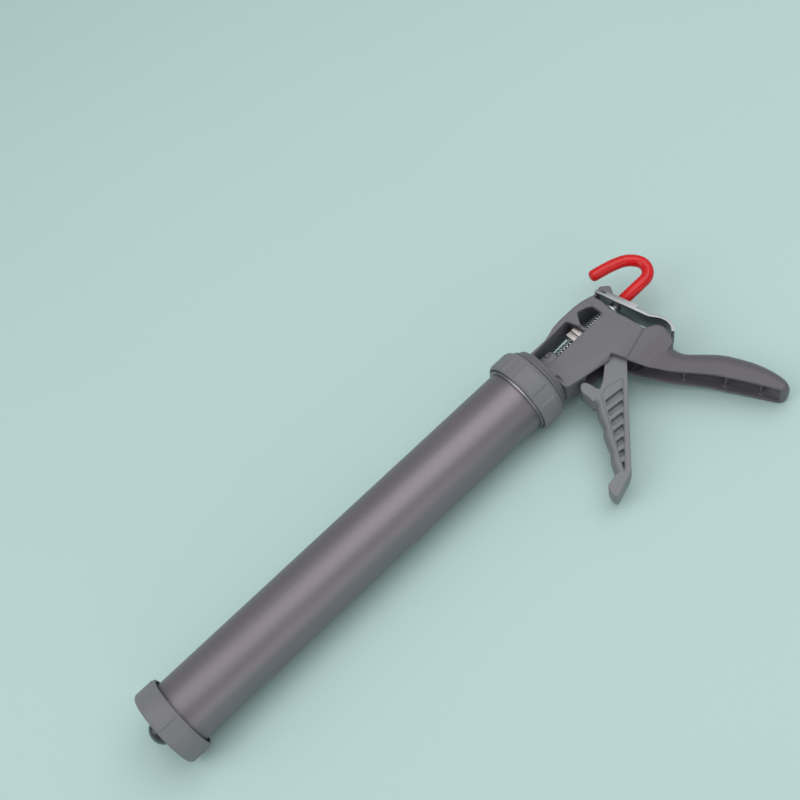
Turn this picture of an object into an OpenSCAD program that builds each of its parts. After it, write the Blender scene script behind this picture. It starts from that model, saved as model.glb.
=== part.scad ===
// Caulking gun for foil sausage packs: a closed aluminium barrel between two
// screw rings, a moulded frame with handle, a lever trigger that drives a
// push rod through gripping plates, and a thumb plate that lets the rod go.
//
// Every piece is drawn in the gun's own directions: X runs back along the
// barrel from the front face of the rear ring, Z points from the barrel axis
// to the rail above the rod, and Y is across. rest() then lays the gun on its
// side, on both rings and the end of the handle.

/* [Barrel] */
// Outside diameter of the barrel tube
tube_d = 53; // [52:0.5:54]
// Wall of the barrel tube
tube_wall = 1.5; // [1:0.1:2]
// From the front face of the front ring to the front face of the rear ring
barrel_l = 362; // [300:1:420]
// Outside diameter of both screw rings
ring_d = 64; // [63:0.5:66]
// Length of the front ring
front_ring_l = 19.7; // [18:0.1:22]
// Length of the rear ring
rear_ring_l = 20.7; // [20:0.1:23]

/* [Rod] */
// Diameter of the push rod
rod_d = 8; // [8:0.5:8]
// Diameter over the plastic coat of the hook
hook_coat_d = 9.8; // [9.4:0.1:11]
// How far the domed nose of the piston stands out of the front ring
nose_proud = 9.4; // [6:0.1:12]

/* [Frame] */
// Width over the cheeks of the frame
frame_w = 28.2; // [27:0.2:30]
// Wall of the cheeks
cheek_wall = 3.1; // [2.5:0.1:3.3]
// Width of the handle at the palm
handle_w = 26; // [24:0.5:28]
// Thickness of one drive plate
drive_plate_t = 5; // [4.5:0.1:5.2]
// Lean of the release plate from square to the rod
release_lean = 14; // [12:0.5:15]

/* [Trigger] */
// Width of the trigger
trigger_w = 18; // [16:0.5:19]
// Diameter of the trigger pin
pin_d = 5; // [4:0.5:6]

/* [Rest] */
// Roll of the gun about its barrel, when the handle's end touches the table
rest_roll = 8.25; // [6:0.01:9]

/* [Hidden] */
$fn = 96;

tube_r = tube_d / 2;
bore_r = tube_r - tube_wall;
ring_r = ring_d / 2;
rod_r = rod_d / 2;
front_x = -barrel_l;
half_w = frame_w / 2;
inner_w = half_w - cheek_wall;
lever_room = trigger_w / 2 + 0.5;
block_w = lever_room + 2.4;

// Stations along the barrel
lip_t = 3;
flange_room = 3;
tube_front_x = front_x + lip_t + flange_room;
tube_rear_x = 9.2;
sleeve_r = tube_r + 2.3;
sleeve_l = 11;
run = 0.05;

// Stations along the frame
front_wall_x = 28.2;
front_wall_t = 3.3;
collar_l = 13.2;
spigot_r = 7;
plate_front_x = 62.3;
plate_gap = 0.5;
plate_rear_x = plate_front_x + drive_plate_t + plate_gap;
web_x = plate_rear_x + drive_plate_t + 0.4;
web_t = 2.6;
pivot = [76, -24];
release_pivot = [106.7, 14];
release_t = 2.2;
coil_r = 5.8;
hook_x = 113.3;
hook_straight = 26.7;
hook_bend_r = 13.4;
hook_turn = 166;
hook_tip_l = 27.5;
hook_cap = 1.8;
hook_coat_r = hook_coat_d / 2;

// Where the gun rests: the middle of its length and of its width
mid_x = -106.553;
mid_y = -53.972;

// ---------------------------------------------------------------- placement

module rest() {
    translate([-mid_x, -mid_y, ring_r])
        rotate([rest_roll - 90, 0, 0])
            children();
}

// A side outline in X and Z, made solid from y0 to y1
module slab(y0, y1, outline) {
    translate([0, y1, 0])
        rotate([90, 0, 0])
            linear_extrude(y1 - y0)
                polygon(outline);
}

// A disc or tube along X
module along_x(x, l, r) {
    translate([x, 0, 0])
        rotate([0, 90, 0])
            cylinder(h = l, r = r);
}

// A solid turned about the barrel axis, from an outline of [x, radius]
module turned(outline) {
    rotate([0, 90, 0])
        rotate_extrude()
            polygon([for (p = outline) [p[1], p[0]]]);
}

// ------------------------------------------------------------------- curves

// A smooth curve through every point of a list, with n steps between points
function spline_point(a, b, c, d, t) =
    0.5 * (2 * b + (c - a) * t + (2 * a - 5 * b + 4 * c - d) * t * t
    + (3 * b - a - 3 * c + d) * t * t * t);
function smooth(p, n) = [
    for (i = [0 : len(p) - 2])
        for (k = [0 : n - 1])
            spline_point(p[max(i - 1, 0)], p[i], p[i + 1], p[min(i + 2, len(p) - 1)], k / n),
    p[len(p) - 1]
];

// A list from its end to its start
function backwards(p) = [for (i = [len(p) - 1 : -1 : 0]) p[i]];

// A band of thickness t to the rear of a side outline's line
function unit(v) = v / norm(v);
function rearward(p, i) =
    let (v = unit(p[min(i + 1, len(p) - 1)] - p[max(i - 1, 0)])) [-v[1], v[0]];
function band(p, t) = concat(p, backwards([for (i = [0 : len(p) - 1]) p[i] + t * rearward(p, i)]));

// A solid lofted through sections that stand across the gun. Each section
// runs from front[i] to back[i] and is width[i] wide. shape is its outline
// in shares of that depth and half width.
module loft(front, back, width, shape) {
    n = len(shape);
    m = len(front);
    points = [
        for (i = [0 : m - 1])
            for (s = shape)
                let (p = front[i] + s[0] * (back[i] - front[i]))
                    [p[0], s[1] * width[i] / 2, p[1]]
    ];
    sides = [
        for (i = [0 : m - 2])
            for (k = [0 : n - 1])
                for (half = [0, 1])
                    let (k2 = (k + 1) % n)
                        half == 0
                            ? [i * n + k, i * n + k2, (i + 1) * n + k]
                            : [i * n + k2, (i + 1) * n + k2, (i + 1) * n + k]
    ];
    caps = [[for (k = [n - 1 : -1 : 0]) k], [for (k = [0 : n - 1]) (m - 1) * n + k]];
    polyhedron(points = points, faces = concat(sides, caps), convexity = 6);
}

// Outline shares of a section with a round back, and of one with a round front
round_steps = 12;
round_back = concat(
    [[0, -1]],
    [for (k = [0 : round_steps]) let (a = 180 * k / round_steps) [0.45 + 0.55 * sin(a), -cos(a)]],
    [[0, 1]]
);
round_front = concat(
    [for (k = [0 : round_steps]) let (a = 180 * k / round_steps) [0.7 - 0.7 * sin(a), cos(a)]],
    [[1, -1], [1, 1]]
);

// A coil spring about the rod, from x0 to x1
module coil(x0, x1, r, wire_r, turns) {
    per_turn = 14;
    sides = 6;
    steps = turns * per_turn;
    points = [
        for (i = [0 : steps])
            for (k = [0 : sides - 1])
                let (
                    a = 360 * i / per_turn,
                    b = 360 * k / sides,
                    q = r + wire_r * cos(b),
                    x = x0 + wire_r + (x1 - x0 - 2 * wire_r) * i / steps + wire_r * sin(b)
                )
                    [x, q * cos(a), q * sin(a)]
    ];
    walls = [
        for (i = [0 : steps - 1])
            for (k = [0 : sides - 1])
                for (half = [0, 1])
                    let (k2 = (k + 1) % sides)
                        half == 0
                            ? [i * sides + k, i * sides + k2, (i + 1) * sides + k]
                            : [i * sides + k2, (i + 1) * sides + k2, (i + 1) * sides + k]
    ];
    ends = [[for (k = [sides - 1 : -1 : 0]) k], [for (k = [0 : sides - 1]) steps * sides + k]];
    polyhedron(points = points, faces = concat(walls, ends), convexity = 10);
}

// -------------------------------------------------------------------- frame

top_line = [[front_wall_x, 14.5], [46, 14.5], [52, 16], [59, 18], [68, 18.7], [82, 18.7], [91, 17.6], [99, 15]];
rear_line = [[100.5, 6], [99.9, -2], [100.9, -11.4], [102.8, -18], [104.3, -30.5]];
horn_line = smooth([[104.8, -33.8], [109.5, -35.7], [114.4, -39.3], [116.1, -44.3], [115.2, -51.2], [111.6, -58.2]], 3);
front_line = [[84.6, -60.5], [78.5, -46.6], [76.5, -41.3], [72.5, -30.3], [66.6, -22.5], [front_wall_x + 3, -13.4]];
crease_z = -45;

// The front and the back of the handle, from the web of the hand to its end
handle_front = smooth(
    [[80.5, -50], [87.4, -65.2], [94.2, -76.4], [102.4, -87.4], [110, -98.4], [116, -109],
     [121.1, -118], [126.4, -128.2], [131.4, -138], [134.4, -143.2], [137, -145.6]], 3);
handle_back = smooth(
    [[112, -47], [111, -61], [113.6, -69.5], [122, -79.2], [131.2, -90.6], [137.6, -103],
     [142.2, -114.4], [144.9, -126], [145.4, -136.5], [143.6, -142.6], [140.8, -145.8]], 3);
handle_shares = smooth(
    [0.85, 0.85, 0.87, 0.92, 0.98, 1, 1, 0.98, 0.94, 0.87, 0.66], 3);
handle_width = [for (share = handle_shares) handle_w * share];
channel_wall = 2.2;
channel_back_wall = 3.6;
channel_end = 26;
channel_front = [for (i = [0 : channel_end]) handle_front[i] - 0.5 * (handle_back[i] - handle_front[i])];
channel_back = [for (i = [0 : channel_end]) handle_back[i] - channel_back_wall * unit(handle_back[i] - handle_front[i])];
rib_stations = [7, 14, 21];

// The lower edge of the cheeks, and the lower edge of the block under them
cheek_edge = [[31.2, -13.4], [66.6, -22.5], [72.5, -30.3]];
block_edge = [[32, -26.4], [45.6, -29.4], [62.1, -32], [67.5, -33]];

module frame_outside() {
    difference() {
        slab(-half_w, half_w, concat(top_line, rear_line, horn_line, front_line, [[front_wall_x, -13.4]]));
        cheek_trims();
    }
    // the narrower block under the cheeks, rounded at its front corner, and
    // the slanted faces that lead down to it
    slab(-block_w, block_w, concat(
        [[front_wall_x, -10]],
        [for (a = [180 : 15 : 255]) [front_wall_x + 4 + 4 * cos(a), -22.4 + 4 * sin(a)]],
        [for (p = block_edge) p],
        [[72.5, -30.3], [72, -10]]));
    hull() {
        slab(-half_w, half_w, concat(cheek_edge, [[40, -10]]));
        slab(-block_w, block_w, concat([[31.2, -24]], [for (k = [1 : 3]) block_edge[k]]));
    }
    loft(handle_front, handle_back, handle_width, round_back);
    // the tongue that hooks over the top of the release plate
    slab(-8, 8, [[88, 14], [92, 17.3], [103.9, 17.6], [108.7, 18.6], [111.7, 19.1], [116.7, 14.6],
        [117.5, 12.8], [114.4, 7.2], [111.6, 8.6], [109.8, 12], [109.6, 15.5], [98, 15.4], [94, 13]]);
}

// Room inside the cheeks for rod, plates and spring, the narrower room for
// the trigger below it, and the open front of the handle
module frame_inside() {
    slab(-inner_w, inner_w, [[front_wall_x + front_wall_t, 12], [68, 13.8], [82, 13.8], [91, 12.6],
        [96.4, 9], [96.2, -2], [97.3, -11], [99.3, -19], [100.6, -30.5], [101.4, -36.6], [110, -39.5],
        [112, -44.5], [111, -47], [83, -47], [78, -40], [74, -30.3], [67, -19], [front_wall_x + front_wall_t, -10]]);
    slab(-lever_room, lever_room, [[front_wall_x + front_wall_t, -8], [80, -8], [92, -44], [84, -56], [70, -56],
        [46.6, -34], [45.4, -26.6], [front_wall_x + front_wall_t, -23.6]]);
}

module frame_windows() {
    mirrored = [-half_w - 1, inner_w - 1];
    for (y = mirrored)
        slab(y, y + cheek_wall + 2, concat(
            [[31.5, -2.3], [31.5, 12.2], [66, 14]],
            [for (a = [75 : -25 : 0]) [67.6 + 2.6 * cos(a), 11.5 + 2.6 * sin(a)]],
            [[71.8, 7.2], [73.6, 2.2], [80.2, 12.6], [82, 13.2], [90, 10.4], [92.4, 8], [93, -2.3]]));
}

// Slanted faces that take the cheeks in below the crease and below the panel
module cheek_trims() {
    for (side = [-1, 1])
        mirror([0, side < 0 ? 1 : 0, 0]) {
            translate([60, half_w, crease_z])
                rotate([-16, 0, 0])
                    translate([0, 0, -40])
                        cube([70, 20, 40]);
        }
}

module frame() {
    color("dimgray")
        rest()
            difference() {
                union() {
                    difference() {
                        frame_outside();
                        frame_inside();
                        frame_windows();
                        loft(channel_front, channel_back, [for (i = [0 : channel_end]) handle_width[i] - 2 * channel_wall], round_back);
                    }
                    // the web that the plates lean on and the release spring sits on
                    slab(-inner_w - 1, inner_w + 1, [[web_x, -6.4], [web_x + web_t, -6.4], [web_x + web_t, 14], [web_x, 14]]);
                    // stiffening ribs across the handle's channel
                    for (i = rib_stations)
                        rib(i);
                    // raised rims on the rear of the cheeks
                    for (y = [-half_w - 0.6, half_w])
                        slab(y, y + 0.6, [[93.4, 14.6], [92.8, 5], [96.2, -8.9], [98.4, -20], [99.4, -30.6], [101.8, -33.2],
                            [104.6, -32], [104.3, -30.5], [102.8, -18], [100.9, -11.4], [99.9, -2], [100.5, 6], [99, 15]]);
                }
                along_x(front_wall_x - 1, front_wall_t + 2, spigot_r + run);
                along_x(web_x - 1, web_t + 2, rod_r + 0.4);
                along_x(94, 9, 7.6);
                trigger_bore();
                // slim slots along the rails
                for (y = [-half_w - 1, half_w - 1.4])
                    slab(y, y + 2.4, [[65, 15.1], [66, 16.4], [77, 16.4], [79, 15.1]]);
            }
}

// A rib follows the channel's section and sinks a little into its walls
rib_t = 1.6;
rib_front = 4;
rib_sink = 0.6;
module rib(i) {
    f = handle_front[i];
    run_back = handle_back[i] - f;
    depth = norm(run_back);
    w = handle_width[i] / 2 - channel_wall + rib_sink;
    translate([f[0], 0, f[1]])
        rotate([0, -atan2(run_back[1], run_back[0]), 0])
            translate([0, 0, -rib_t / 2])
                linear_extrude(rib_t)
                    polygon([for (s = round_back)
                        [max(rib_front, (s[0] * 1.5 - 0.5) * depth - s[0] * (channel_back_wall - rib_sink)), s[1] * w]]);
}

module trigger_bore() {
    translate([pivot[0], -half_w + 1.2, pivot[1]])
        rotate([-90, 0, 0])
            cylinder(h = frame_w, d = pin_d);
}

module trigger_pin() {
    color("silver")
        rest()
            translate([pivot[0], 0, pivot[1]])
                rotate([-90, 0, 0]) {
                    translate([0, 0, -half_w + 1.2])
                        cylinder(h = frame_w - 1.2, d = pin_d);
                    translate([0, 0, half_w])
                        cylinder(h = 1, d = pin_d + 3.4);
                }
}

// ------------------------------------------------------------------- barrel

module barrel_hub() {
    color("dimgray")
        rest()
            turned([
                [2, 20], [9.6, 20], [9.6, sleeve_r + 0.6], [12.6, sleeve_r + 0.6], [12.6, 24.3], [rear_ring_l + 0.4, 24.3],
                [rear_ring_l + 0.4, 27.6], [rear_ring_l + 2.4, 27.6], [rear_ring_l + 3.4, 25.6],
                [front_wall_x - 0.6, 24.6], [front_wall_x - 0.3, 23.6], [front_wall_x - 0.3, spigot_r],
                [front_wall_x + front_wall_t + 0.3 + collar_l, spigot_r],
                [front_wall_x + front_wall_t + 0.3 + collar_l, rod_r + 0.08],
                [18, rod_r + 0.08], [18, 17], [2, 17]
            ]);
}

collar_x = front_wall_x + front_wall_t + 0.3;
screw_tilt = -32;

module retaining_collar() {
    color("gray")
        rest()
            difference() {
                turned([[collar_x, spigot_r], [collar_x, 10.2], [collar_x + collar_l - 1.6, 10.2],
                    [collar_x + collar_l, 8.8], [collar_x + collar_l, spigot_r]]);
                rotate([screw_tilt, 0, 0])
                    translate([collar_x + 7.6, 0, 0])
                        rotate([90, 0, 0])
                            cylinder(h = 14, r = 1.6);
                rotate([screw_tilt, 0, 0])
                    translate([collar_x + 7.6, -8.9, 0])
                        rotate([90, 0, 0])
                            cylinder(h = 6, r = 2.6);
            }
}

module collar_screw() {
    color("silver")
        rest()
            rotate([screw_tilt, 0, 0])
                translate([collar_x + 7.6, 0, 0])
                    rotate([90, 0, 0])
                        difference() {
                            union() {
                                translate([0, 0, 7])
                                    cylinder(h = 2, r = 1.6);
                                translate([0, 0, 8.9])
                                    cylinder(h = 1.9, r = 2.3);
                            }
                            for (a = [0, 90])
                                rotate([0, 0, a])
                                    translate([-1.6, -0.3, 9.9])
                                        cube([3.2, 0.6, 2]);
                        }
}

module barrel_tube() {
    color("slategray")
        rest()
            difference() {
                along_x(tube_front_x, tube_rear_x - tube_front_x, tube_r);
                along_x(tube_front_x - 1, tube_rear_x - tube_front_x + 2, bore_r);
            }
}

// A threaded sleeve fixed on one end of the tube
module sleeve(x) {
    difference() {
        along_x(x, sleeve_l, sleeve_r);
        along_x(x - 1, sleeve_l + 2, tube_r);
        for (k = [0 : 2])
            translate([x + 2.4 + 3 * k, 0, 0])
                difference() {
                    along_x(0, 1, sleeve_r + 1);
                    along_x(-1, 3, sleeve_r - 0.7);
                }
    }
}

module rear_sleeve() {
    color("silver")
        rest()
            sleeve(tube_rear_x - sleeve_l);
}

module front_sleeve() {
    color("silver")
        rest()
            sleeve(tube_front_x);
}

// Six raised grip panels round a ring, each 40 degrees wide
panel_w = 2 * ring_r * sin(20);
module ring_grip(x, l, offset_angle) {
    for (a = [0 : 60 : 300])
        intersection() {
            difference() {
                along_x(x, l, ring_r);
                along_x(x - 1, l + 2, ring_r - 1.2);
            }
            rotate([a + offset_angle, 0, 0])
                translate([x, 0, -panel_w / 2])
                    cube([l, ring_r + 1, panel_w]);
        }
}

module rear_ring() {
    color("gray")
        rest() {
            inside = sleeve_r + run;
            difference() {
                union() {
                    turned([
                        [0, 29.3], [0, ring_r - 1], [0.6, ring_r - 0.7], [rear_ring_l - 3, ring_r - 0.7],
                        [rear_ring_l, ring_r - 3.4], [rear_ring_l, 24.6], [13, 24.6], [13, inside + 0.8],
                        [9, inside + 0.8], [9, inside], [3, inside], [3, 29.3]
                    ]);
                    ring_grip(0.8, rear_ring_l - 4.2, 15);
                }
                along_x(1, 10, inside);
            }
        }
}

module front_ring() {
    color("gray")
        rest() {
            inside = sleeve_r + run;
            back_x = front_x + front_ring_l;
            difference() {
                union() {
                    turned([
                        [front_x, 23], [front_x, ring_r - 2.2], [front_x + 1.4, ring_r - 0.7], [back_x - 0.6, ring_r - 0.7],
                        [back_x, ring_r - 1.3], [back_x, 29.3], [back_x - 3.4, 29.3], [back_x - 3.4, inside],
                        [front_x + lip_t, inside], [front_x + lip_t, 23]
                    ]);
                    ring_grip(front_x + 1.6, front_ring_l - 2.4, 1.5);
                }
                along_x(front_x + lip_t, 10, inside);
            }
        }
}

// ---------------------------------------------------------------------- rod

piston_x = tube_front_x + 1;
rod_front_x = piston_x + 2;

module push_rod() {
    color("silver")
        rest() {
            along_x(rod_front_x, hook_x - rod_front_x, rod_r);
            hook_sweep(rod_r, 0);
        }
}

// The straight end, the bend and the tip of the hook, with a round or a
// ring-shaped section of outer radius r and inner radius hole
module hook_sweep(r, hole) {
    translate([hook_x, 0, 0])
        rotate([0, 90, 0])
            linear_extrude(hook_straight)
                hook_section(r, hole);
    at_bend() {
        rotate([90, 0, 0])
            rotate([0, 0, -90])
                rotate_extrude(angle = hook_turn)
                    translate([hook_bend_r, 0])
                        hook_section(r, hole);
        at_tip(0)
            linear_extrude(hook_tip_l)
                hook_section(r, hole);
    }
}

// The middle of the hook's bend, and a distance along the tip from its end
module at_bend() {
    translate([hook_x + hook_straight, 0, hook_bend_r])
        children();
}

module at_tip(along) {
    rotate([0, 90 - hook_turn, 0])
        translate([hook_bend_r, 0, along])
            children();
}

module hook_section(r, hole) {
    difference() {
        circle(r = r);
        if (hole > 0)
            circle(r = hole);
    }
}

module hook_coat() {
    color("red")
        rest() {
            hook_sweep(hook_coat_r, rod_r);
            at_bend()
                at_tip(hook_tip_l)
                    cylinder(h = hook_cap, r1 = hook_coat_r, r2 = hook_coat_r - 1);
        }
}

module piston() {
    color("black")
        rest()
            difference() {
                turned([
                    [front_x - nose_proud, 0], [front_x - nose_proud + 0.35, 3], [front_x - nose_proud + 1.6, 6.2],
                    [front_x - nose_proud + 3.9, 8.8], [front_x - nose_proud + 7, 10.2], [front_x - 0.6, 10.8],
                    [piston_x, 12.6], [piston_x, bore_r - 1.4], [piston_x + 1.2, bore_r - 0.3],
                    [piston_x + 9, bore_r - 0.3], [piston_x + 9, bore_r - 3], [piston_x + 4, bore_r - 3],
                    [piston_x + 4, 9], [piston_x + 7, 9], [piston_x + 7, 0]
                ]);
                along_x(rod_front_x, 20, rod_r);
            }
}

module piston_washer() {
    color("silver")
        rest()
            difference() {
                along_x(piston_x + 7, 1.6, 8.5);
                along_x(piston_x + 6, 4, rod_r);
            }
}

module piston_nut() {
    color("silver")
        rest()
            difference() {
                translate([piston_x + 8.6, 0, 0])
                    rotate([0, 90, 0])
                        cylinder(h = 6.5, r = 7.5, $fn = 6);
                along_x(piston_x + 8, 8, rod_r);
            }
}

// -------------------------------------------------------------- drive plates

module drive_plate(x) {
    difference() {
        slab(-9, 9, [[x, -17], [x + 1, -17.6], [x + drive_plate_t - 1, -17.6], [x + drive_plate_t, -17],
            [x + drive_plate_t, 7.4], [x + drive_plate_t - 0.4, 7.8], [x + 0.4, 7.8], [x, 7.4]]);
        along_x(x - 1, drive_plate_t + 2, rod_r + 0.08);
    }
}

module drive_plate_front() {
    color("silver")
        rest()
            drive_plate(plate_front_x);
}

module drive_plate_rear() {
    color("silver")
        rest()
            drive_plate(plate_rear_x);
}

module return_spring() {
    color("lightgray")
        rest()
            coil(collar_x + collar_l + 0.1, plate_front_x - 0.1, coil_r, 0.6, 5);
}

module release_spring() {
    color("lightgray")
        rest()
            coil(web_x + web_t + 0.1, 106.4, coil_r, 0.65, 12);
}

// ------------------------------------------------------------- release plate

module release_plate() {
    color("silver")
        rest() {
            lean = tan(release_lean);
            top = [104.6, 17.8];
            foot = [top[0] + lean * 44, top[1] - 44];
            line = concat([top, foot], smooth([[foot[0] + 1.4, foot[1] - 3.4], [foot[0] + 5.2, foot[1] - 9.6],
                [foot[0] + 6.6, foot[1] - 15.6], [foot[0] + 5.4, foot[1] - 20.6], [foot[0] + 2.6, foot[1] - 24]], 3));
            difference() {
                union() {
                    slab(-10, 10, band(line, release_t));
                    for (y = [-10, 8.2])
                        slab(y, y + 1.8, [[106.5, 10.2], [111.8, 10.2], [118.2, -16.2], [113.1, -16.2]]);
                    slab(8.2, 10, [[113, -12], [117, -11.4], [123.4, -10], [122.6, -15], [119, -20], [115, -20]]);
                }
                along_x(100, 25, rod_r + 0.5);
                // notch for the frame's tongue
                slab(-8.5, 8.5, [[100, release_pivot[1]], [112, release_pivot[1]], [112, 25], [100, 25]]);
            }
            translate([release_pivot[0], -8.5, release_pivot[1]])
                rotate([-90, 0, 0])
                    cylinder(h = 17, r = release_t / 2);
        }
}

// ------------------------------------------------------------------ trigger

// The wavy front of the lever, the edge that it rounds off to, and the back
trigger_front = smooth([[34.8, -47.6], [34.4, -51], [31.7, -54.2], [28.5, -59.5], [26.4, -64.4], [24.9, -67.6],
    [21.5, -70.4], [18.5, -75.5], [16.2, -80.6], [14.4, -84.4], [10.6, -88], [7.4, -93], [3.6, -100.4]], 3);
edge_top = [43.6, -47];
edge_foot = [9.2, -103];
trigger_edge = [for (i = [0 : len(trigger_front) - 1])
    edge_top + i / (len(trigger_front) - 1) * (edge_foot - edge_top)];
trigger_back = [[77.7, -42], [63.2, -56.4], [45.3, -74.4], [30.6, -89.3], [21.6, -98.5], [14.4, -105.7], [8.5, -108.6]];
trigger_half = trigger_w / 2;
web_half = trigger_half - 1;

// The flank between the flanges is a long triangle. Its pockets start at its
// front side and run back at a slant to its rear side.
pocket_apex = [6.2, -107.2];
front_run = unit([35.3, 54.5]);
rear_run = unit([53.3, 52.2]);
pocket_run = [cos(6.5), -sin(6.5)];
pocket_depth = 4.6;
pocket_h = 5;
pocket_pitch = 8.67;
pocket_first = 12.6;
pocket_count = 7;
function across(a, b) = a[0] * b[1] - a[1] * b[0];
function front_side(s) = pocket_apex + s * front_run;
function rear_side(p) = p - pocket_run * across(p - pocket_apex, rear_run) / across(pocket_run, rear_run);

module pocket(k) {
    s = pocket_first + pocket_pitch * k;
    h = k == 0 ? 8.2 : pocket_h;
    high = front_side(s) + 0.8 * pocket_run;
    low = front_side(s - h) + 0.8 * pocket_run;
    slab(trigger_half - pocket_depth, trigger_half + 1, [
        high, low, rear_side(low) - 0.2 * pocket_run, rear_side(high) - 0.6 * pocket_run
    ]);
}

module trigger() {
    color("gray")
        rest()
            difference() {
                union() {
                    loft(trigger_front, trigger_edge, [for (p = trigger_front) trigger_w], round_front);
                    // the web with its ribs, and the flange at the back
                    slab(-web_half, web_half, concat([edge_top, [52.9, -40.5]], trigger_back, [edge_foot]));
                    slab(-trigger_half, trigger_half, concat(trigger_back,
                        [[5.2, -108], front_side(-0.4) + [0.4, 0], rear_side(front_side(76)), [72, -36]]));
                    // the head inside the frame, with the nose behind the plates
                    slab(-trigger_half, trigger_half, [[73.4, -9], [78.6, -8.4], [84, -14], [86, -24], [83, -33],
                        [77.7, -42], [66, -50], [50, -46], [46.4, -43.6], [52.9, -40.5], [60.5, -34.5],
                        [66.7, -29.1], [70.5, -24], [73.4, -18]]);
                    // the finger stop
                    slab(-trigger_half, trigger_half, concat([[44, -48], [50, -46], [48, -43.8], [46.4, -43.6], [44.5, -41.6], [44.6, -38.5]],
                        smooth([[43.6, -34], [41.8, -31.2], [39.2, -30.8], [36.3, -33], [35, -37], [35.3, -42], [34.8, -47.6]], 3)));
                    // the foot
                    slab(-trigger_half, trigger_half, concat([[8, -101], [3.6, -100.4]],
                        smooth([[1, -101.2], [-3.5, -101.6], [-7, -102.8], [-8.8, -106.5], [-9.4, -110.5], [-8.4, -113.6]], 2),
                        [[-4, -112.4], [1, -110.6], [5.2, -109.2], [8.5, -108.6], [12, -106]]));
                }
                // slanted pockets in both flanks
                for (side = [0, 1])
                    mirror([0, side, 0])
                        for (k = [0 : pocket_count - 1])
                            pocket(k);
                translate([pivot[0], -20, pivot[1]])
                    rotate([-90, 0, 0])
                        cylinder(h = 40, r = pin_d / 2 + run);
            }
}

frame();
trigger_pin();
barrel_hub();
retaining_collar();
collar_screw();
barrel_tube();
rear_sleeve();
front_sleeve();
rear_ring();
front_ring();
push_rod();
hook_coat();
piston();
piston_washer();
piston_nut();
drive_plate_front();
drive_plate_rear();
return_spring();
release_spring();
release_plate();
trigger();
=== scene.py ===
"""Caulking gun, lying on its side on a pale floor, with its looks: soft moulded
edges, real coil springs, ring panels, a dipped hook and procedural materials."""

import math

import bmesh
import bpy
from mathutils import Matrix, Vector


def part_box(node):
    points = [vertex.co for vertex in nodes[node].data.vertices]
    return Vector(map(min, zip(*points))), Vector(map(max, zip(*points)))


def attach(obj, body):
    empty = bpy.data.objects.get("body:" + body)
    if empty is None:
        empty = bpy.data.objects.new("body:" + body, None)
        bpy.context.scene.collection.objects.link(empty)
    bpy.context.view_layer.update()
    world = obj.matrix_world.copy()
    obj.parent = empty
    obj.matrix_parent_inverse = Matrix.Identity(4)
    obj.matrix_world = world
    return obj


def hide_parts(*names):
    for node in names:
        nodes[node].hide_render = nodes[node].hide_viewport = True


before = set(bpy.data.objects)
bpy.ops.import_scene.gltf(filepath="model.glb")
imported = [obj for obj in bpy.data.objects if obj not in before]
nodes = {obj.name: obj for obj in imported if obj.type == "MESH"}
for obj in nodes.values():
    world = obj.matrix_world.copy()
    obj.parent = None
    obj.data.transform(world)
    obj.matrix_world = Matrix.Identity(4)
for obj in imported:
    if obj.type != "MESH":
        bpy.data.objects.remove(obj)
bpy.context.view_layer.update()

MM = 0.001

# ---------------------------------------------------------------- the gun's own directions
# X runs back along the barrel from the rear ring's front face, Z points from
# the barrel axis to the rail, and Y is across, towards the far side.

REST_ROLL = math.radians(8.25)
ring_low, ring_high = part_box("rear_ring")
AXIS_Y = (ring_low.y + ring_high.y) / 2
AXIS_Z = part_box("front_ring")[1].z / 2
REST = Matrix.Translation((ring_low.x, AXIS_Y, AXIS_Z)) @ Matrix.Rotation(REST_ROLL - math.pi / 2, 4, "X")


def at_rest(x, y, z):
    """A point of the gun, in millimetres, as it lies in the frame."""
    return REST @ Vector((x * MM, y * MM, z * MM))


# ---------------------------------------------------------------- camera, floor and lights

CAMERA_PLACE = (-230.2, -854.0, -347.3)
CAMERA_TURN = math.radians(-11.03)
CAMERA_RISE = math.radians(-25.49)
CAMERA_ROLL = math.radians(47.20)
LENS = 54.85


def place_camera():
    """Looks at the near side of the gun from a little below, rolled so that the barrel slants."""
    out = Vector((math.sin(CAMERA_TURN) * math.cos(CAMERA_RISE),
                  -math.cos(CAMERA_TURN) * math.cos(CAMERA_RISE), math.sin(CAMERA_RISE)))
    level = (-out).cross(Vector((0, 0, 1))).normalized()
    drop = (-out).cross(level)
    right = math.cos(CAMERA_ROLL) * level + math.sin(CAMERA_ROLL) * drop
    down = -math.sin(CAMERA_ROLL) * level + math.cos(CAMERA_ROLL) * drop
    turn = Matrix((right, -down, out)).transposed().to_4x4()
    data = bpy.data.cameras.new("camera")
    data.lens = LENS
    data.sensor_width = 36
    data.clip_start = 0.05
    camera = bpy.data.objects.new("camera", data)
    bpy.context.collection.objects.link(camera)
    camera.matrix_world = REST @ Matrix.Translation([c * MM for c in CAMERA_PLACE]) @ turn
    bpy.context.scene.camera = camera
    return camera


camera = place_camera()
camera_right = (camera.matrix_world.to_3x3() @ Vector((1, 0, 0))).normalized()
camera_up = (camera.matrix_world.to_3x3() @ Vector((0, 1, 0))).normalized()
camera_back = (camera.matrix_world.to_3x3() @ Vector((0, 0, 1))).normalized()
middle = Vector((0, 0, AXIS_Z))


def add_light(name, across, up, back, size, power):
    """A soft square light, placed from the gun's middle by metres along the camera's directions."""
    data = bpy.data.lights.new(name, "AREA")
    data.shape = "RECTANGLE"
    data.size, data.size_y = size
    data.energy = power
    light = bpy.data.objects.new(name, data)
    bpy.context.collection.objects.link(light)
    place = middle + across * camera_right + up * camera_up + back * camera_back
    light.location = place
    light.rotation_euler = (place - middle).to_track_quat("Z", "Y").to_euler()


FLOOR_HALF = 6
FLOOR_DROP = 0.0002


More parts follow.
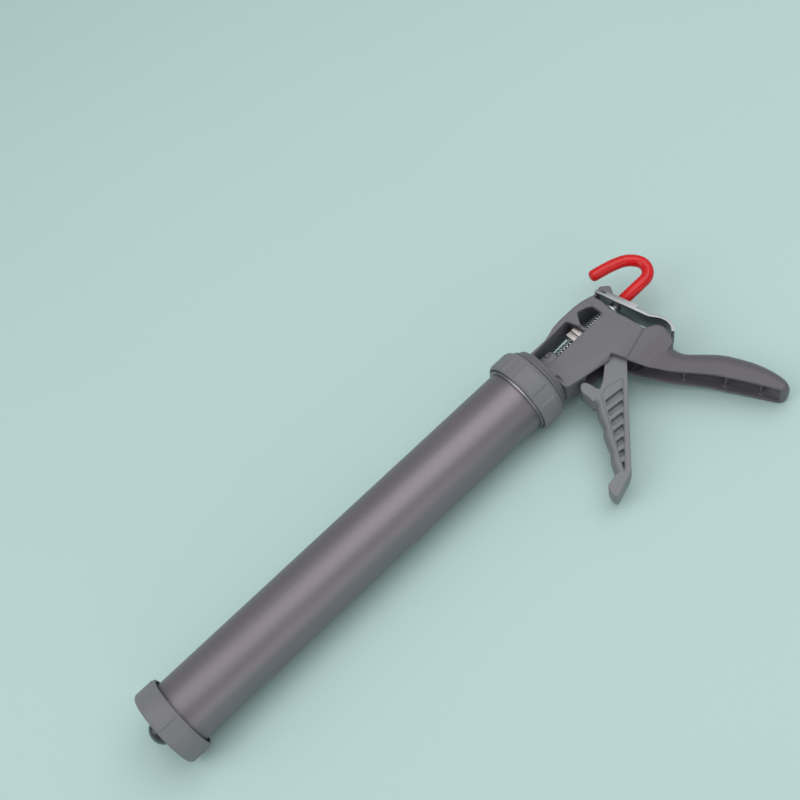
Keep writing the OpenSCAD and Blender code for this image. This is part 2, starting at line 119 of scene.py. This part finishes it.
def make_floor():
    """A wide floor just under the gun."""
    mesh = bpy.data.meshes.new("floor")
    b = bmesh.new()
    bmesh.ops.create_grid(b, x_segments=1, y_segments=1, size=FLOOR_HALF)
    b.to_mesh(mesh)
    b.free()
    floor = bpy.data.objects.new("floor", mesh)
    bpy.context.collection.objects.link(floor)
    floor.location.z = -FLOOR_DROP
    return floor


floor = make_floor()
add_light("key", 0.1, 1.2, 1.5, (2, 2), 20)
add_light("side", -1.5, 0.1, 1.1, (1.2, 1.8), 9)
add_light("low", 0.9, -1.0, 1.1, (1.4, 1.4), 6)
world = bpy.data.worlds.new("studio")
bpy.context.scene.world = world
world.use_nodes = True
sky = world.node_tree.nodes["Background"]
sky.inputs["Color"].default_value = (0.86, 0.92, 0.94, 1)
sky.inputs["Strength"].default_value = 0.47
bpy.context.scene.view_settings.view_transform = "Standard"

# ---------------------------------------------------------------- materials


class Value:
    """An output socket that takes part in sums."""

    def __init__(self, finish, socket):
        self.finish = finish
        self.socket = socket

    def __add__(self, other):
        return self.finish.node("ShaderNodeMath", {0: self, 1: other}, operation="ADD")

    def __radd__(self, other):
        return self.finish.node("ShaderNodeMath", {0: other, 1: self}, operation="ADD")


class Finish:
    """A material with a Principled shader and short ways to feed it."""

    def __init__(self, name, **constants):
        self.material = bpy.data.materials.new(name)
        self.material.use_nodes = True
        self.tree = self.material.node_tree
        self.shader = self.tree.nodes["Principled BSDF"]
        self.feed(**constants)

    def node(self, kind, inputs=None, output=0, **settings):
        made = self.tree.nodes.new(kind)
        for key, setting in settings.items():
            setattr(made, key, setting)
        for key, value in (inputs or {}).items():
            self.put(made.inputs[key], value)
        return Value(self, made.outputs[output])

    def put(self, socket, value):
        if isinstance(value, Value):
            self.tree.links.new(value.socket, socket)
        elif socket.type == "RGBA":
            socket.default_value = (*value[:3], 1)
        else:
            socket.default_value = value

    def feed(self, **sockets):
        """Feeds the shader's sockets: base_color feeds Base Color, and so on."""
        for name, value in sockets.items():
            self.put(self.shader.inputs[SOCKETS[name]], value)

    def place(self, stretch=(1, 1, 1), turn=(0, 0, 0)):
        coords = self.node("ShaderNodeTexCoord", output="Object")
        return self.node("ShaderNodeMapping", {"Vector": coords, "Scale": stretch, "Rotation": turn})

    def noise(self, scale, detail=2, where=None, roughness=0.5):
        """Noise from 0 to 1, with so many cells per metre."""
        return self.node("ShaderNodeTexNoise", {
            "Vector": where or self.place(), "Scale": scale, "Detail": detail, "Roughness": roughness})

    def between(self, value, low, high, to_low=0.0, to_high=1.0):
        return self.node("ShaderNodeMapRange", {
            "Value": value, "From Min": low, "From Max": high, "To Min": to_low, "To Max": to_high})

    def mix(self, factor, first, second):
        """A colour between two colours."""
        made = self.tree.nodes.new("ShaderNodeMix")
        made.data_type = "RGBA"
        sockets = [s for s in made.inputs if s.type == "RGBA"]
        self.put(made.inputs[0], factor)
        self.put(sockets[0], first)
        self.put(sockets[1], second)
        return Value(self, [s for s in made.outputs if s.type == "RGBA"][0])

    def bump(self, height, strength, distance):
        return self.node("ShaderNodeBump", {"Height": height, "Strength": strength, "Distance": distance})


SOCKETS = {
    "base_color": "Base Color", "roughness": "Roughness", "metallic": "Metallic", "normal": "Normal",
    "coat": "Coat Weight", "coat_roughness": "Coat Roughness", "specular": "Specular IOR Level",
}


# Where the cheeks end and the handle begins, across the table; the frame's painted handle shade ramps in
# between
HAND_START = at_rest(0, 0, -34).y
HAND_END = at_rest(0, 0, -52).y


def shade(colour, factor):
    """A colour made lighter or darker."""
    return tuple(c * factor for c in colour)


def moulded(name, colour, roughness, handle_shade=None):
    """Glass-filled moulding: fine grain, faint flow marks and a soft sheen. Its
    colour drifts to a darker, warmer tint across the handle: painted shade where the handle faces away from
    the light."""
    finish = Finish(name, specular=0.45)
    flow = finish.noise(14, 3)
    grains = finish.noise(2600, 2)
    scuffs = finish.noise(120, 5, finish.place((1, 4, 1)), 0.65)
    flow_and_handle_shade = finish.mix(finish.between(flow, 0.3, 0.7), shade(colour, 0.94), shade(colour, 1.06))
    if handle_shade:
        # Painted shade: across the handle the colour drifts to a darker, warmer tint, standing in for the
        # shade where the handle faces away from the light
        along = finish.node("ShaderNodeSeparateXYZ", {"Vector": finish.place()}, output="Y")
        flow_and_handle_shade = finish.mix(finish.between(along, HAND_START, HAND_END), flow_and_handle_shade, handle_shade)
    finish.feed(
        base_color=finish.mix(finish.between(scuffs, 0.62, 0.8, 0, 0.2), flow_and_handle_shade, shade(colour, 1.3)),
        roughness=finish.between(grains, 0.3, 0.7, roughness - 0.04, roughness + 0.06)
        + finish.between(scuffs, 0.55, 0.8, 0, 0.08),
        normal=finish.bump(grains, 0.072, 0.00012),
    )
    return finish.material


def anodised(name, colour):
    """Satin anodised tube: fine drawn lines along it and a slow drift of tone."""
    finish = Finish(name, metallic=0.7)
    lines = finish.noise(900, 3, finish.place((0.012, 1, 1)))
    drift = finish.noise(9, 2)
    specks = finish.noise(1500, 2)
    tone = finish.mix(finish.between(drift, 0.3, 0.7), shade(colour, 0.95), shade(colour, 1.05))
    finish.feed(
        base_color=finish.mix(finish.between(lines, 0.35, 0.65), shade(colour, 0.93), tone),
        roughness=finish.between(lines, 0.3, 0.7, 0.40, 0.47) + finish.between(specks, 0.6, 0.8, 0, 0.05),
        normal=finish.bump(lines, 0.05, 0.0001),
    )
    return finish.material


def metal(name, colour, roughness, stretch=(1, 1, 1), scale=900, contrast=0.12, bump=0.08):
    """Bare or plated metal with rolled or ground lines and a little staining."""
    finish = Finish(name, metallic=1.0)
    lines = finish.noise(scale, 4, finish.place(stretch))
    stains = finish.noise(90, 4, None, 0.6)
    bright = finish.mix(finish.between(lines, 0.35, 0.65), shade(colour, 1 - contrast), colour)
    finish.feed(
        base_color=finish.mix(finish.between(stains, 0.55, 0.8, 0, 0.4), bright, shade(colour, 0.7)),
        roughness=finish.between(lines, 0.3, 0.7, roughness - 0.05, roughness + 0.07)
        + finish.between(stains, 0.5, 0.8, 0, 0.1),
        normal=finish.bump(lines, bump, 0.0001),
    )
    return finish.material


def dipped(name, colour):
    """Glossy vinyl dip: a clear sheen, faint sags and rubbed places."""
    finish = Finish(name, coat=0.25, coat_roughness=0.12, specular=0.3)
    sags = finish.noise(160, 2)
    rubs = finish.noise(260, 5, None, 0.6)
    finish.feed(
        base_color=finish.mix(finish.between(sags, 0.3, 0.7), shade(colour, 0.9), shade(colour, 1.08)),
        roughness=finish.between(rubs, 0.4, 0.75, 0.2, 0.36),
        normal=finish.bump(sags, 0.08, 0.0004),
    )
    return finish.material


def glossy_black(name):
    """Polished black moulding with a thin haze."""
    finish = Finish(name, coat=0.5, coat_roughness=0.1)
    haze = finish.noise(300, 4, None, 0.6)
    finish.feed(
        base_color=finish.mix(haze, (0.010, 0.009, 0.012), (0.022, 0.018, 0.026)),
        roughness=finish.between(haze, 0.35, 0.7, 0.16, 0.3),
        normal=finish.bump(haze, 0.04, 0.0002),
    )
    return finish.material


def floor_paint():
    """Matt pale green floor with a slow drift of tone."""
    finish = Finish("floor_paint", specular=0.1)
    drift = finish.noise(2.5, 2)
    finish.feed(
        base_color=finish.mix(drift, (0.50, 0.665, 0.64), (0.52, 0.685, 0.66)),
        roughness=finish.between(drift, 0.3, 0.7, 0.82, 0.9),
    )
    return finish.material


# The frame's second, darker and warmer colour is painted shade on the handle, not a colour of the moulding
frame_grey = moulded("frame_grey", (0.138, 0.132, 0.146), 0.4, handle_shade=(0.112, 0.100, 0.115))
ring_grey = moulded("ring_grey", (0.185, 0.180, 0.187), 0.5)
trigger_grey = moulded("trigger_grey", (0.185, 0.186, 0.192), 0.46)
tube_alu = anodised("tube_alu", (0.225, 0.200, 0.218))
zinc = metal("zinc_plate", (0.40, 0.41, 0.42), 0.42, (1, 1, 6), 500)
screw_zinc = metal("screw_zinc", (0.80, 0.80, 0.82), 0.3, (1, 1, 1), 500)
sleeve_alu = metal("sleeve_alu", (0.34, 0.33, 0.35), 0.4, (0.03, 1, 1), 1200)
rod_steel = metal("rod_steel", (0.26, 0.26, 0.27), 0.34, (0.03, 1, 1), 1200)
plate_steel = metal("plate_steel", (0.62, 0.56, 0.54), 0.38, (1, 8, 1), 700, 0.25, 0.15)
spring_wire = metal("spring_wire", (0.93, 0.93, 0.95), 0.3, (1, 1, 1), 1500, 0.05)
red_dip = dipped("red_dip", (0.66, 0.006, 0.008))
black = glossy_black("piston_black")
floor.data.materials.append(floor_paint())

LOOKS = {
    "frame": frame_grey, "barrel_hub": frame_grey, "retaining_collar": ring_grey,
    "rear_ring": ring_grey, "front_ring": ring_grey, "trigger": trigger_grey,
    "barrel_tube": tube_alu, "rear_sleeve": sleeve_alu, "front_sleeve": sleeve_alu,
    "push_rod": rod_steel, "trigger_pin": rod_steel, "collar_screw": screw_zinc,
    "piston_washer": zinc, "piston_nut": zinc, "release_plate": zinc,
    "drive_plate_front": plate_steel, "drive_plate_rear": plate_steel,
    "return_spring": spring_wire, "release_spring": spring_wire,
    "hook_coat": red_dip, "piston": black,
}


def paint(piece, material):
    """Gives a piece one material."""
    piece.data.materials.clear()
    piece.data.materials.append(material)


for name, material in LOOKS.items():
    paint(nodes[name], material)

# ---------------------------------------------------------------- pieces


def stand_in(name, mesh, body, node):
    """A piece that stands for a CAD node, rides on its body and has its finish."""
    piece = bpy.data.objects.new(name, mesh)
    bpy.context.collection.objects.link(piece)
    paint(piece, LOOKS[node])
    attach(piece, body)
    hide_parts(node)


def finish_piece(name, b, body, node, sharp=35):
    """Makes a mesh in the gun's own directions a finished piece, sharp past so many degrees."""
    mesh = bpy.data.meshes.new(name)
    b.transform(REST)
    for face in b.faces:
        face.smooth = True
    b.to_mesh(mesh)
    b.free()
    mesh.set_sharp_from_angle(angle=math.radians(sharp))
    stand_in(name, mesh, body, node)


MERGE = 2e-6


def merged_copy(node):
    """The node's mesh with its doubled points joined, in the gun's own directions."""
    b = bmesh.new()
    b.from_mesh(nodes[node].data)
    bmesh.ops.remove_doubles(b, verts=b.verts, dist=MERGE)
    b.transform(REST.inverted())
    return b


def soft_step(value, low, high):
    """From 0 at low to 1 at high, with soft ends."""
    t = min(max((value - low) / (high - low), 0), 1)
    return t * t * (3 - 2 * t)


# The slanted crease on the cheeks, as points of (x, z), its depth and its lower end
CREASE_FRONT = Vector((76.5, -41)) * MM
CREASE_REAR = Vector((104.6, -33)) * MM
CREASE_DEPTH = 1.5
CREASE_END_Z = -75 * MM


def press_crease(mesh):
    """Takes the cheeks in below the slanted crease where the handle's own surface begins."""
    run = (CREASE_REAR - CREASE_FRONT).normalized()
    for v in mesh.vertices:
        away = Vector((v.co.x, v.co.z)) - CREASE_FRONT
        below = (run.y * away.x - run.x * away.y) / MM
        if below < 0 or v.co.z < CREASE_END_Z:
            continue
        outside = soft_step(abs(v.co.y) / MM, 9.5, 12.5)
        depth = CREASE_DEPTH * soft_step(below, 0, 3) * (1 - soft_step(below, 16, 34))
        v.co.y -= math.copysign(depth * outside * MM, v.co.y)


def softened(node, body, voxel, rounds, press=None):
    """A copy of a moulded node with its edges rounded, as they leave the mould."""
    b = merged_copy(node)
    mesh = bpy.data.meshes.new(node + "_rough")
    b.to_mesh(mesh)
    b.free()
    rough = bpy.data.objects.new(node + "_rough", mesh)
    bpy.context.collection.objects.link(rough)
    remesh = rough.modifiers.new("remesh", "REMESH")
    remesh.mode = "VOXEL"
    remesh.voxel_size = voxel * MM
    remesh.use_smooth_shade = True
    smooth = rough.modifiers.new("smooth", "SMOOTH")
    smooth.factor = 0.5
    smooth.iterations = rounds
    graph = bpy.context.evaluated_depsgraph_get()
    done = bpy.data.meshes.new_from_object(rough.evaluated_get(graph))
    bpy.data.objects.remove(rough)
    if press:
        press(done)
    done.transform(REST)
    stand_in(node + "_body", done, body, node)


# Faces closer to one plane than the first angle are joined, and edges sharper
# than the second are broken
FLAT_ANGLE = math.radians(1)
EDGE_ANGLE = math.radians(28)


def edged(node, body, width):
    """A copy of a machined or stamped node with its sharp edges broken."""
    b = merged_copy(node)
    bmesh.ops.dissolve_limit(b, angle_limit=FLAT_ANGLE, verts=b.verts, edges=b.edges)
    edges = [e for e in b.edges if len(e.link_faces) == 2 and e.calc_face_angle() > EDGE_ANGLE]
    bmesh.ops.bevel(b, geom=edges, offset=width * MM, offset_type="OFFSET", affect="EDGES",
                    segments=2, profile=0.5, material=-1, clamp_overlap=True)
    finish_piece(node + "_edged", b, body, node)


# Both springs: the coils' radius, the sides of the wire, and the steps in a turn
SPRING_RADIUS = 5.8
WIRE_SIDES = 12
TURN_STEPS = 32


def coil(node, start, end, wire, turns):
    """A round wire wound along the rod, with its two ends cut square."""
    b = bmesh.new()
    verts = bmesh.ops.create_circle(b, segments=WIRE_SIDES, radius=wire * MM)["verts"]
    first = Matrix.Translation(((start + wire) * MM, SPRING_RADIUS * MM, 0))
    bmesh.ops.transform(b, matrix=first, verts=verts)
    steps = turns * TURN_STEPS
    rise = (end - start - 2 * wire) * MM / steps
    bmesh.ops.spin(b, geom=verts + list(b.edges), cent=(0, 0, 0), axis=(1, 0, 0), dvec=(rise, 0, 0),
                   angle=math.tau * turns, steps=steps, use_merge=False)
    bmesh.ops.holes_fill(b, edges=[e for e in b.edges if e.is_boundary])
    bmesh.ops.recalc_face_normals(b, faces=b.faces)
    finish_piece(node + "_wire", b, "frame", node, 60)


def ring_middle(ring):
    """The middle of a ring of points."""
    verts = [g for g in ring if isinstance(g, bmesh.types.BMVert)]
    return sum((v.co for v in verts), Vector()) / len(verts)


def grow_ring(b, ring, factor):
    """Scales a ring about its own middle."""
    verts = [g for g in ring if isinstance(g, bmesh.types.BMVert)]
    centre = ring_middle(ring)
    bmesh.ops.scale(b, verts=verts, vec=(factor,) * 3, space=Matrix.Translation(-centre))


def sweep_on(b, ring, cent, degrees, steps):
    """Carries a ring of edges round a bend and gives the ring at its end."""
    swept = bmesh.ops.spin(b, geom=ring, cent=cent, axis=(0, -1, 0), angle=math.radians(degrees),
                           steps=steps, use_merge=False)
    return swept["geom_last"]


def on_ring(part, verts):
    """Whether a point or an edge lies wholly on a ring of points."""
    return part in verts if isinstance(part, bmesh.types.BMVert) else all(v in verts for v in part.verts)


def push_on(b, ring, direction, length):
    """Carries a ring of edges straight on."""
    edges = [g for g in ring if isinstance(g, bmesh.types.BMEdge)]
    grown = bmesh.ops.extrude_edge_only(b, edges=edges)["geom"]
    verts = [g for g in grown if isinstance(g, bmesh.types.BMVert)]
    bmesh.ops.translate(b, verts=verts, vec=direction * length * MM)
    return [g for g in grown if not isinstance(g, bmesh.types.BMFace) and on_ring(g, verts)]


# The red coat: where it starts, its radius, its stepped mouth, its straight run,
# the hook's bends as radius, degrees and steps, and its rounded tip
COAT_START = 113.3
COAT_RADIUS = 4.9
COAT_SIDES = 40
MOUTH_EASE = 0.7
MOUTH_LENGTH = 0.6
COAT_STRAIGHT = 28
BENDS = ((11, 115, 40), (20.7, 40, 16), (80, 11, 6))
TIP_STRAIGHT = 8.6
TIP_ROUND = 3.6
TIP_FLAT = 0.3
TIP_STEPS = 6


def tip_share(k):
    """The share of the coat's radius that is left after k steps of its rounded tip."""
    return TIP_FLAT + (1 - TIP_FLAT) * math.cos(math.tau / 4 * k / TIP_STEPS)


def dipped_hook():
    """The hook: a straight run, a tight bend that opens out, and a rounded tip."""
    b = bmesh.new()
    mouth_radius = COAT_RADIUS - MOUTH_EASE
    verts = bmesh.ops.create_circle(b, segments=COAT_SIDES, radius=mouth_radius * MM)["verts"]
    upright = Matrix.Translation((COAT_START * MM, 0, 0)) @ Matrix.Rotation(math.pi / 2, 4, "Y")
    bmesh.ops.transform(b, matrix=upright, verts=verts)
    ring = verts + list(b.edges)
    way = Vector((1, 0, 0))
    ring = push_on(b, ring, way, MOUTH_LENGTH)
    grow_ring(b, ring, COAT_RADIUS / mouth_radius)
    ring = push_on(b, ring, way, COAT_STRAIGHT)
    heading = 0
    for radius, degrees, steps in BENDS:
        side = Vector((-math.sin(heading), 0, math.cos(heading)))
        ring = sweep_on(b, ring, ring_middle(ring) + side * radius * MM, degrees, steps)
        heading += math.radians(degrees)
    way = Vector((math.cos(heading), 0, math.sin(heading)))
    ring = push_on(b, ring, way, TIP_STRAIGHT)
    for k in range(TIP_STEPS):
        before, now = (math.tau / 4 * j / TIP_STEPS for j in (k, k + 1))
        ring = push_on(b, ring, way, TIP_ROUND * (math.sin(now) - math.sin(before)))
        grow_ring(b, ring, tip_share(k + 1) / tip_share(k))
    bmesh.ops.holes_fill(b, edges=[e for e in b.edges if e.is_boundary])
    bmesh.ops.recalc_face_normals(b, faces=b.faces)
    finish_piece("hook_dip", b, "rod", "hook_coat", 50)


def turned(outline, steps):
    """A piece turned on the lathe about the barrel's axis, from an outline of (x, radius)."""
    b = bmesh.new()
    row = [b.verts.new((x * MM, 0, r * MM)) for x, r in outline]
    line = [b.edges.new(pair) for pair in zip(row, row[1:])]
    bmesh.ops.spin(b, geom=row + line, cent=(0, 0, 0), axis=(1, 0, 0),
                   angle=math.tau, steps=steps, use_merge=True)
    bmesh.ops.remove_doubles(b, verts=b.verts, dist=1e-6)
    bmesh.ops.recalc_face_normals(b, faces=b.faces)
    return b


# The bare rod's radius
ROD = 4
ROD_SIDES = 48


def straight_rod():
    """The bare rod, from inside the piston to just inside the coat."""
    nose = (REST.inverted() @ Vector((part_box("piston")[0].x, AXIS_Y, AXIS_Z))).x / MM
    start = nose + 15
    end = COAT_START + 2
    b = turned(((start, 0), (start, ROD - 0.5), (start + 0.5, ROD), (end, ROD), (end, 0)), ROD_SIDES)
    finish_piece("push_rod_bar", b, "rod", "push_rod")


# Both screw rings: their radius, the sleeves' radius, and the six grip panels
RING = 32
SLEEVE = 28.85
RING_SIDES = 360
PANEL_TURN = 60
PANEL_RISE = 0.7
PANEL_EDGE = (19.3, 20.6)
PLAIN = RING - PANEL_RISE
FRONT = -362


def grip_ring(node, outline, panel, first):
    """A screw ring: a turned shell whose outside stands out in six soft panels."""
    b = turned(outline, RING_SIDES)
    start, end = panel
    for v in b.verts:
        r = math.hypot(v.co.y, v.co.z)
        x = v.co.x / MM
        if r < (RING - 1) * MM or not start < x < end:
            continue
        angle = (math.degrees(math.atan2(v.co.z, v.co.y)) - first) % PANEL_TURN
        off = min(angle, PANEL_TURN - angle)
        lift = 1 - soft_step(off, *PANEL_EDGE)
        lift *= soft_step(x, start, start + 1) * soft_step(-x, -end, 1 - end)
        v.co.y *= 1 + PANEL_RISE * MM * lift / r
        v.co.z *= 1 + PANEL_RISE * MM * lift / r
    finish_piece(node + "_shell", b, node, node, 40)


def rows(start, end, count=24):
    """Even stations along the plain outside of a ring."""
    return tuple((start + (end - start) * k / count, PLAIN) for k in range(count + 1))


softened("frame", "frame", 0.68, 3, press_crease)
softened("trigger", "trigger", 0.5, 3)
dipped_hook()
straight_rod()
coil("return_spring", 45.1, 62.2, 0.75, 5)
coil("release_spring", 76.0, 106.4, 0.8, 12)

grip_ring("rear_ring", (
    (0.3, 29.3), (0, 29.8), (0, RING - 1.5), (0.25, RING - 1.0),
    *rows(0.8, 17.4), (18.4, RING - 0.9), (20.2, RING - 2.9), (20.7, RING - 3.9),
    (20.7, 24.9), (20.4, 24.6), (13, 24.6), (13, SLEEVE + 0.8), (9, SLEEVE + 0.8),
    (9, SLEEVE), (3, SLEEVE), (3, 29.3), (0.3, 29.3)), (0.8, 17.2), 75)
grip_ring("front_ring", (
    (FRONT + 0.4, 23), (FRONT, 23.4), (FRONT, RING - 3.2),
    (FRONT + 0.3, RING - 2.2), (FRONT + 0.8, RING - 1.3),
    *rows(FRONT + 1.5, FRONT + 18.8), (FRONT + 19.5, RING - 1), (FRONT + 19.7, RING - 1.5),
    (FRONT + 19.7, 29.4), (FRONT + 16.3, 29.4), (FRONT + 16.3, SLEEVE), (FRONT + 3, SLEEVE),
    (FRONT + 3, 23.4), (FRONT + 2.6, 23), (FRONT + 0.4, 23)), (FRONT + 1.7, FRONT + 18.4), 61.5)

BROKEN_EDGES = (
    ("release_plate", "release_plate", 0.45), ("drive_plate_front", "drive_plates", 0.25),
    ("drive_plate_rear", "drive_plates", 0.25), ("trigger_pin", "frame", 0.3), ("barrel_hub", "barrel", 0.35),
    ("retaining_collar", "barrel", 0.4), ("collar_screw", "barrel", 0.15), ("piston_nut", "rod", 0.3),
    ("piston_washer", "rod", 0.2), ("piston", "rod", 0.25),
)
for node, body, width in BROKEN_EDGES:
    edged(node, body, width)
